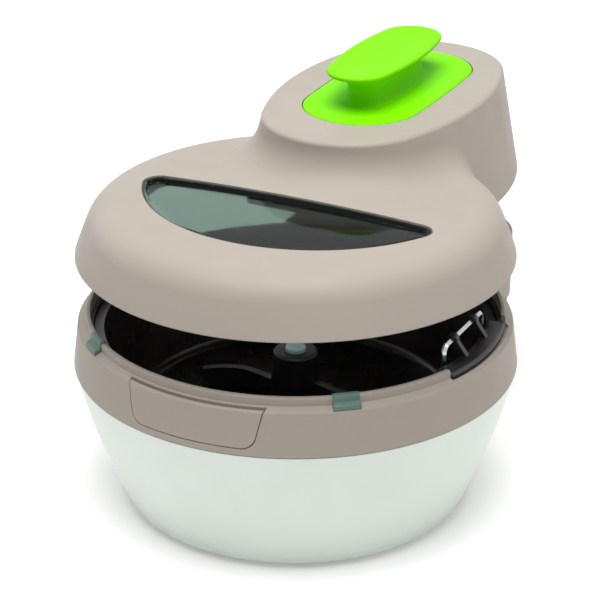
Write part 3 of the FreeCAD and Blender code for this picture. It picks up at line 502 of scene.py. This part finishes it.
# Rubber feet: rings with a sunk core under the base
rubberFeet = {
    "places": ((0.050, -0.133), (-0.050, -0.133), (0.052, 0.145), (-0.052, 0.145)),
    "ringSteps": 48,
    "coreSides": 32,
    "sizes": {"Outer": 0.009, "Core": 0.0032, "Height": 0.003, "Edge": 0.0008, "Core Height": 0.0018},
}


def makeFeet(feet):
    tree, given, out = newTree("ringFeet", feet["sizes"])
    wall = mathOf(tree, "SUBTRACT", given["Outer"], given["Core"])
    middle = mathOf(tree, "DIVIDE", mathOf(tree, "ADD", given["Outer"], given["Core"]), 2.0)
    path = addNode(tree, "GeometryNodeCurvePrimitiveCircle")
    feed(tree, path, Radius=middle, Resolution=feet["ringSteps"])
    ring = sweptAlong(tree, path.outputs[0], roundedBar(tree, wall, given["Height"], given["Edge"]))
    core = addNode(tree, "GeometryNodeMeshCylinder")
    feed(tree, core, Vertices=feet["coreSides"], Radius=given["Core"], Depth=given["Core Height"])
    sunk = mathOf(tree, "DIVIDE", mathOf(tree, "SUBTRACT", given["Height"], given["Core Height"]), 2.0)
    both = addNode(tree, "GeometryNodeJoinGeometry")
    tree.links.new(ring, both.inputs[0])
    tree.links.new(raisedBy(tree, core.outputs[0], sunk), both.inputs[0])
    endTree(tree, given, out, atPoints(tree, given["Start"], both.outputs[0]))
    start = pointMesh("footPlaces", [(x, y, feet["sizes"]["Height"] / 2) for x, y in feet["places"]])
    growPiece("ringFeet", "rubber_feet", tree, start, feet["sizes"])


makeFeet(rubberFeet)

# Base plate screws: pan heads with a cross recess, heads down
plateScrews = {
    "places": ((0.062, 0.007), (-0.062, 0.007), (-0.062, -0.117), (0.062, -0.117)),
    "headLow": 0.0012,
    "headSides": 32,
    "shankSides": 16,
    "sizes": {"Head": 0.004, "Head Face": 0.0031, "Head Height": 0.0018, "Shank": 0.0016,
              "Shank Length": 0.0155, "Slot": 0.0009, "Slot Length": 0.0044, "Slot Depth": 0.0012},
}


def makeScrews(screws):
    tree, given, out = newTree("crossScrews", screws["sizes"])
    head = addNode(tree, "GeometryNodeMeshCone")
    feed(tree, head, Vertices=screws["headSides"], Radius_Top=given["Head"],
         Radius_Bottom=given["Head Face"], Depth=given["Head Height"])
    recessed = addNode(tree, "GeometryNodeMeshBoolean", operation="DIFFERENCE", solver="EXACT")
    tree.links.new(head.outputs[0], recessed.inputs["Mesh 1"])
    deep = mathOf(tree, "MULTIPLY", given["Slot Depth"], 2.0)
    for first, second in (("Slot Length", "Slot"), ("Slot", "Slot Length")):
        span = addNode(tree, "ShaderNodeCombineXYZ")
        feed(tree, span, X=given[first], Y=given[second], Z=deep)
        bar = feed(tree, addNode(tree, "GeometryNodeMeshCube"), Size=span.outputs[0])
        tree.links.new(bar.outputs[0], recessed.inputs["Mesh 2"])
    shank = addNode(tree, "GeometryNodeMeshCylinder")
    feed(tree, shank, Vertices=screws["shankSides"], Radius=given["Shank"], Depth=given["Shank Length"])
    half = mathOf(tree, "DIVIDE", given["Shank Length"], 2.0)
    whole = addNode(tree, "GeometryNodeMeshBoolean", operation="UNION", solver="EXACT")
    tree.links.new(recessed.outputs[0], whole.inputs["Mesh 2"])
    rise = mathOf(tree, "ADD", half, given["Slot Depth"])
    tree.links.new(raisedBy(tree, shank.outputs[0], rise), whole.inputs["Mesh 2"])
    endTree(tree, given, out, atPoints(tree, given["Start"], whole.outputs[0]))
    start = pointMesh("screwPlaces", [(x, y, screws["headLow"]) for x, y in screws["places"]])
    growPiece("crossScrews", "plate_screws", tree, start, screws["sizes"])


makeScrews(plateScrews)

# Lid seal: a rounded lip on the lid's inner wall, open at the rear
lidSeal = {
    "height": 0.1850,
    "steps": 180,
    "sizes": {"Radius": 0.1397, "From": math.radians(130.2), "Sweep": math.radians(279.6),
              "Width": 0.0020, "Height": 0.0022, "Edge": 0.0007},
}


def makeSeal(seal):
    tree, given, out = newTree("lipSeal", seal["sizes"])
    path = addNode(tree, "GeometryNodeCurveArc")
    feed(tree, path, Resolution=seal["steps"], Radius=given["Radius"],
         Start_Angle=given["From"], Sweep_Angle=given["Sweep"])
    profile = roundedBar(tree, given["Width"], given["Height"], given["Edge"])
    lip = sweptAlong(tree, path.outputs[0], profile, caps=True)
    endTree(tree, given, out, atPoints(tree, given["Start"], lip))
    start = pointMesh("sealPlace", [(0.0, layout["axisY"], seal["height"])])
    growPiece("lipSeal", "lid_seal", tree, start, seal["sizes"])


makeSeal(lidSeal)
print("feet, screws and seal made")

# Window in the dome: a sunk pane with an upstanding rim, and its gasket
dome = {"top": 0.0397, "crownRadius": 1.8652}
windowShape = {
    "radius": 0.113, "middle": 0.026, "chord": -0.008, "corner": 0.009, "centre": -0.046,
    "chordSteps": 24, "cornerSteps": 10, "curveSteps": 60,
}
paneShape = {
    "outer": [(-0.00008, 0.0049), (-0.00008, 0.0013), (-0.00018, 0.0010), (-0.0004, 0.0009)],
    "inner": [(-0.0012, 0.0009), (-0.0015, 0.0010), (-0.0017, 0.0013), (-0.0024, 0.0030),
              (-0.0027, 0.0033), (-0.0032, 0.0035)],
    "topDrop": 0.0035,
    "steps": 12,
}
gasketShape = {"grow": 0.0007, "drop": 0.0031, "sizes": {"Width": 0.0011, "Height": 0.0050, "Edge": 0.0004}}


def onDome(x, y, drop):
    bow = dome["crownRadius"] - math.sqrt(dome["crownRadius"] ** 2 - x * x - y * y)
    return Vector((x, y + layout["axisY"], layout["lidRim"] + dome["top"] - bow - drop))


# Outline of the window, grown by a distance: chord, round corner, long curve, round corner
def windowLoop(grow):
    reach, corner = windowShape["radius"] + grow, windowShape["corner"] + grow
    middle, chord = windowShape["middle"], windowShape["chord"] + grow
    cornerY = chord - corner
    cornerX = math.sqrt((reach - corner) ** 2 - (cornerY - middle) ** 2)
    turn = math.atan2(cornerY - middle, cornerX)
    alongChord, roundCorner = windowShape["chordSteps"], windowShape["cornerSteps"]
    alongCurve = windowShape["curveSteps"]
    points = [(-cornerX + 2 * cornerX * step / alongChord, chord) for step in range(alongChord)]
    for step in range(roundCorner):
        angle = math.pi / 2 + (turn - math.pi / 2) * step / roundCorner
        points.append((cornerX + corner * math.cos(angle), cornerY + corner * math.sin(angle)))
    for step in range(alongCurve):
        angle = turn + (-math.pi - 2 * turn) * step / alongCurve
        points.append((reach * math.cos(angle), middle + reach * math.sin(angle)))
    for step in range(roundCorner):
        angle = math.pi - turn + (turn - math.pi / 2) * step / roundCorner
        points.append((-cornerX + corner * math.cos(angle), cornerY + corner * math.sin(angle)))
    return points


def shrunkLoop(points, share, drop):
    centre = windowShape["centre"]
    return [onDome(x * share, centre + (y - centre) * share, drop) for x, y in points]


def makePane():
    base, rim = paneShape["outer"][0], paneShape["inner"][-1]
    steps = paneShape["steps"]
    shares = [step / steps for step in range(1, steps)]
    loops = [shrunkLoop(windowLoop(base[0]), share, base[1]) for share in shares]
    for grow, drop in paneShape["outer"] + paneShape["inner"]:
        loops.append([onDome(x, y, drop) for x, y in windowLoop(grow)])
    loops += [shrunkLoop(windowLoop(rim[0]), share, paneShape["topDrop"]) for share in reversed(shares)]
    standsFor(closedStack("windowPane", loops), "lid_window")


def makeGasket():
    tree, given, out = newTree("windowGasket", gasketShape["sizes"])
    path = feed(tree, addNode(tree, "GeometryNodeMeshToCurve"), Mesh=given["Start"])
    level = feed(tree, addNode(tree, "GeometryNodeSetCurveNormal", mode="Z_UP"), Curve=path.outputs[0])
    profile = roundedBar(tree, given["Width"], given["Height"], given["Edge"])
    endTree(tree, given, out, sweptAlong(tree, level.outputs[0], profile))
    places = [onDome(x, y, gasketShape["drop"]) for x, y in windowLoop(gasketShape["grow"])]
    start = pointMesh("gasketPath", places, closed=True)
    growPiece("windowGasket", "window_gasket", tree, start, gasketShape["sizes"])


makePane()
makeGasket()
print("window made")

# Rim pads: soft saddles over the collar's flange; their profile is in millimetres from the axis and the floor
padShape = {
    "angles": {"left": -129.8, "right": -50.2},
    "span": 7.0,
    "steps": 14,
    "edge": 0.0003,
    "edgeSteps": 3,
    "profile": [
        (137.15, 132.9), (137.1, 133.4), (137.1, 136.4), (137.35, 137.1), (138.0, 137.6), (139.0, 137.85),
        (140.0, 137.85), (141.0, 137.6), (141.65, 137.1), (141.9, 136.4), (141.9, 133.7), (142.05, 133.05),
        (142.5, 132.7), (143.2, 132.6), (144.3, 132.5), (145.0, 132.2), (145.45, 131.6), (145.65, 130.8),
        (145.75, 129.3), (145.6, 128.85), (145.0, 128.95), (143.0, 130.05), (141.3, 130.98), (141.1, 131.2),
        (141.1, 135.55), (140.1, 136.6), (138.1, 136.6), (137.9, 136.4), (137.9, 133.1), (137.6, 132.75),
    ],
}


def makePad(side, middle):
    steps = padShape["steps"]
    shape = bmesh.new()
    rings = []
    for step in range(steps + 1):
        angle = middle + padShape["span"] * (step / steps - 0.5)
        rings.append([shape.verts.new(roundAxis(r / 1000, angle, z / 1000)) for r, z in padShape["profile"]])
    for low, high in zip(rings, rings[1:]):
        bridge(shape, low, high)
    shape.faces.new(rings[0])
    shape.faces.new(rings[-1])
    piece = placePiece("rimPad_" + side, shape, softTurn)
    soft = piece.modifiers.new("soft", "BEVEL")
    soft.width, soft.segments = padShape["edge"], padShape["edgeSteps"]
    soft.limit_method, soft.angle_limit = "ANGLE", softTurn
    standsFor(settled(piece, softTurn), "rim_pad_" + side)


for padSide, padAngle in padShape["angles"].items():
    makePad(padSide, padAngle)
print("rim pads made")


# Oval of four arcs, as the filter pieces have it: points round it, evenly in each arc, and the
# shares of an oval at which its top is ringed
arcSteps, roundSteps = 24, 5
topShares = [0.94, 0.86, 0.76, 0.65, 0.53, 0.40, 0.26, 0.12]


def ovalLoop(half, length, tip):
    side = (half**2 + length**2 - 2 * length * tip) / (2 * (half - tip))
    lean = math.atan2(length - tip, side - half)
    points = []
    for quarter in range(4):
        for step in range(arcSteps):
            share = step / arcSteps
            inTip = quarter % 2 == 1
            turn = lean + share * (math.pi - 2 * lean) if inTip else -lean + share * 2 * lean
            if inTip:
                spot = Vector((tip * math.cos(turn), length - tip + tip * math.sin(turn)))
            else:
                spot = Vector((side * math.cos(turn) - (side - half), side * math.sin(turn)))
            points.append(spot if quarter < 2 else -spot)
    return points


def ovalRing(sizes, middleY, height, inset=0.0, share=1.0):
    flat = ovalLoop(sizes[0] - inset, sizes[1] - inset, sizes[2] - inset)
    return [Vector((p.x * share, middleY + p.y * share, height)) for p in flat]


def quarterRound(radius):
    turns = [math.pi / 2 * step / roundSteps for step in range(roundSteps + 1)]
    return [(radius * (1 - math.cos(turn)), radius * math.sin(turn)) for turn in turns]


# Green filter cover: a softly crowned oval plate, sunk into the hood
coverShape = {"oval": (0.0422, 0.0855, 0.0412), "middleY": 0.0903, "low": 0.2434, "high": 0.2466,
              "edge": 0.0020, "lowEdge": 0.0004, "crown": 0.0014}


def makeCover(cover):
    oval, middle, edge = cover["oval"], cover["middleY"], cover["edge"]
    low, lowEdge = cover["low"], cover["lowEdge"]
    loops = [ovalRing(oval, middle, low, lowEdge), ovalRing(oval, middle, low + lowEdge)]
    for inset, rise in quarterRound(edge):
        loops.append(ovalRing(oval, middle, cover["high"] - edge + rise, inset))
    for share in topShares:
        loops.append(ovalRing(oval, middle, cover["high"] + cover["crown"] * (1 - share**2), edge, share))
    standsFor(closedStack("filterCover", loops), "filter_cover")


makeCover(coverShape)

# Green grip: a stem that flares into the cover and into a thin leaf with a dished top
gripShape = {
    "middleY": 0.083,
    "rings": [  # half, length and tip of the oval, and its height above the lid's rim
        (0.0220, 0.0530, 0.0190, 0.0697), (0.0192, 0.0500, 0.0165, 0.0706), (0.0170, 0.0474, 0.0146, 0.0722),
        (0.0153, 0.0455, 0.0131, 0.0748), (0.0144, 0.0444, 0.0123, 0.0780), (0.0142, 0.0442, 0.0121, 0.0815),
        (0.0148, 0.0450, 0.0126, 0.0850), (0.0164, 0.0474, 0.0140, 0.0880), (0.0190, 0.0520, 0.0162, 0.0902),
        (0.0220, 0.0572, 0.0188, 0.0917), (0.0242, 0.0618, 0.0206, 0.0928), (0.0254, 0.0640, 0.0216, 0.0936),
        (0.0259, 0.0648, 0.0219, 0.0945), (0.0260, 0.0650, 0.0220, 0.0953), (0.0257, 0.0647, 0.0217, 0.0962),
        (0.0250, 0.0640, 0.0210, 0.0968), (0.0240, 0.0630, 0.0200, 0.0970), (0.0230, 0.0620, 0.0190, 0.0969),
    ],
    "dish": 0.0011,
}


def makeGrip(grip):
    middle, rim = grip["middleY"], layout["lidRim"]
    loops = [ovalRing(ring[:3], middle, rim + ring[3]) for ring in grip["rings"]]
    edge = grip["rings"][-1]
    for share in topShares:
        loops.append(ovalRing(edge[:3], middle, rim + edge[3] - grip["dish"] * (1 - share**2), 0.0, share))
    standsFor(closedStack("leafGrip", loops, softTurn), "filter_grip")


makeGrip(gripShape)

# Filter mat: foam with soft edges and a slightly uneven face
matShape = {"oval": (0.0376, 0.0809, 0.0356), "middleY": 0.0903, "low": 0.2380, "high": 0.2431,
            "edge": 0.0018, "sag": 0.0005, "uneven": 0.00012, "waves": (900, 700)}


def makeMat(mat):
    oval, middle, edge = mat["oval"], mat["middleY"], mat["edge"]
    low, high, uneven = mat["low"], mat["high"], mat["uneven"]
    soft = quarterRound(edge)
    loops = [ovalRing(oval, middle, low, edge, share) for share in reversed(topShares)]
    loops += [ovalRing(oval, middle, low + edge - rise, inset) for inset, rise in reversed(soft)]
    loops += [ovalRing(oval, middle, high - edge + rise, inset) for inset, rise in soft]
    loops += [ovalRing(oval, middle, high - mat["sag"] * (1 - s**2), edge, s) for s in topShares]
    acrossWave, alongWave = mat["waves"]
    for loop in loops:
        for spot in loop:
            spot.z += uneven * math.sin(spot.x * acrossWave) * math.cos(spot.y * alongWave) - uneven
    piece = standsFor(closedStack("filterMat", loops), "filter_pad")


makeMat(matShape)
print("filter pieces made")

# Pan handle: a round-backed bar along the collar with two eyes on the wire
handleShape = {
    "inner": 0.1286, "outer": 0.1412, "low": 0.1289, "high": 0.1334, "topRound": 0.0024, "lowRound": 0.0009,
    "halfTurn": 19.0, "endRound": 1.6, "wire": (0.122, 0.1435), "eye": 0.0035, "bore": 0.00183,
    "eyeSpan": (0.014, 0.018), "eyeSides": 40, "boreOver": 0.002,
    "cornerSteps": 6, "halfSteps": 14, "tipTurns": (20, 32, 48, 68),
    "arm": [(0.00175, 0.00133), (-0.00175, -0.00133), (0.00775, -0.0133), (0.01125, -0.0111)],
}


def barSection(bar):
    corners = [("outer", "high", "topRound", 0), ("inner", "high", "topRound", 90),
               ("inner", "low", "lowRound", 180), ("outer", "low", "lowRound", 270)]
    points = []
    for side, level, edge, start in corners:
        radius = bar[edge]
        x = bar[side] + (-radius if side == "outer" else radius)
        z = bar[level] + (-radius if level == "high" else radius)
        for step in range(bar["cornerSteps"] + 1):
            turn = math.radians(start + 90 * step / bar["cornerSteps"])
            points.append((x + radius * math.cos(turn), z + radius * math.sin(turn)))
    return points


def prismAlongY(name, points, low, high):
    shape = bmesh.new()
    rings = [[shape.verts.new((x, layout["axisY"] + y, z)) for x, z in points] for y in (low, high)]
    bridge(shape, *rings)
    for ring in rings:
        shape.faces.new(ring)
    return placePiece(name, shape)


def mergedWith(piece, tool, operation):
    change = piece.modifiers.new(operation, "BOOLEAN")
    change.object, change.operation, change.solver = tool, operation, "EXACT"
    settled(piece)
    bpy.data.objects.remove(tool)


def roundBar(bar):
    section = barSection(bar)
    middle = Vector((sum(x for x, _ in section), sum(z for _, z in section))) / len(section)
    straight = bar["halfTurn"] - bar["endRound"]
    tips = [(straight + bar["endRound"] * math.cos(math.radians(a)), math.sin(math.radians(a)))
            for a in bar["tipTurns"]]
    half = bar["halfSteps"]
    even = [(straight * (step / half - 1), 1.0) for step in range(2 * half + 1)]
    stops = [(-turn, share) for turn, share in tips] + even + list(reversed(tips))
    loops = []
    for turn, share in stops:
        spots = [middle + (Vector(point) - middle) * share for point in section]
        loops.append([roundAxis(spot.x, turn, spot.y) for spot in spots])
    return closedStack("panGrip", loops)


def makeHandle(bar):
    piece = roundBar(bar)
    wireX, wireZ = bar["wire"]
    over, sides = bar["boreOver"], bar["eyeSides"]
    turns = [2 * math.pi * step / sides for step in range(sides)]
    for sign in (-1, 1):
        low, high = sorted(sign * reach for reach in bar["eyeSpan"])
        arm = prismAlongY("gripArm", [(wireX + x, wireZ + z) for x, z in bar["arm"]], low, high)
        mergedWith(piece, arm, "UNION")
        rounds = (("eye", (low, high), "UNION"), ("bore", (low - over, high + over), "DIFFERENCE"))
        for name, ends, operation in rounds:
            radius = bar[name]
            ring = [(wireX + radius * math.cos(t), wireZ + radius * math.sin(t)) for t in turns]
            mergedWith(piece, prismAlongY("grip_" + name, ring, *ends), operation)
    standsFor(piece, "handle_grip")


makeHandle(handleShape)
print("pan handle made")

# Studio: pale floor that fades to white, soft lamps and a surround that looks white but lights less
studio = {
    "world": 0.23, "aim": (0.0, 0.0, 0.12), "floorColor": (236, 236, 234), "floorRough": 0.9,
    "floorSize": 8.0, "floorLift": 0.30, "floorFade": (0.5, 1.6),
}
lamps = {
    "topPanel": {"place": (0.1, -0.35, 2.0), "size": 1.6, "power": 44.0},
    "leftPanel": {"place": (-1.7, 0.5, 0.9), "size": 1.2, "power": 3.0},
    "rightPanel": {"place": (1.7, 0.7, 0.9), "size": 1.2, "power": 3.0},
}


# One for rays that show a thing, straight, mirrored or through the pane, and nought for rays that light it
def seenBy(tree):
    path = addNode(tree, "ShaderNodeLightPath").outputs
    seen = mathOf(tree, "MAXIMUM", path["Is Camera Ray"], path["Is Glossy Ray"])
    return mathOf(tree, "MAXIMUM", seen, path["Is Transmission Ray"])


def makeWorld():
    world = scene.world or bpy.data.worlds.new("studioWorld")
    scene.world = world
    world.use_nodes = True
    tree = world.node_tree
    tree.nodes.clear()
    strength = ramp(tree, seenBy(tree), 0.0, 1.0, studio["world"], 1.0)
    light = feed(tree, addNode(tree, "ShaderNodeBackground"), Color=white, Strength=strength)
    feed(tree, addNode(tree, "ShaderNodeOutputWorld"), Surface=light.outputs[0])


def makeLamp(name, lamp):
    data = bpy.data.lights.new(name, "AREA")
    data.shape, data.size, data.energy = "DISK", lamp["size"], lamp["power"]
    made = bpy.data.objects.new(name, data)
    scene.collection.objects.link(made)
    made.location = lamp["place"]
    aim = Vector(studio["aim"]) - made.location
    made.rotation_euler = aim.to_track_quat("-Z", "Y").to_euler()


def makeFloor():
    shape = bmesh.new()
    bmesh.ops.create_grid(shape, x_segments=2, y_segments=2, size=studio["floorSize"] / 2)
    mesh = bpy.data.meshes.new("floor")
    shape.to_mesh(mesh)
    shape.free()
    floor = bpy.data.objects.new("floor", mesh)
    scene.collection.objects.link(floor)
    made, tree, shader = newMaterial("paleFloor")
    reach = addNode(tree, "ShaderNodeVectorMath", operation="LENGTH")
    tree.links.new(objectPlace(tree), reach.inputs[0])
    lift = ramp(tree, reach.outputs["Value"], *studio["floorFade"], studio["floorLift"], 1.0)
    feed(tree, shader, Base_Color=linear(*studio["floorColor"]), Roughness=studio["floorRough"],
         Emission_Color=white, Emission_Strength=mathOf(tree, "MULTIPLY", seenBy(tree), lift))
    mesh.materials.append(made)


makeWorld()
for lampName, lampSizes in lamps.items():
    makeLamp(lampName, lampSizes)
makeFloor()
print("studio set")
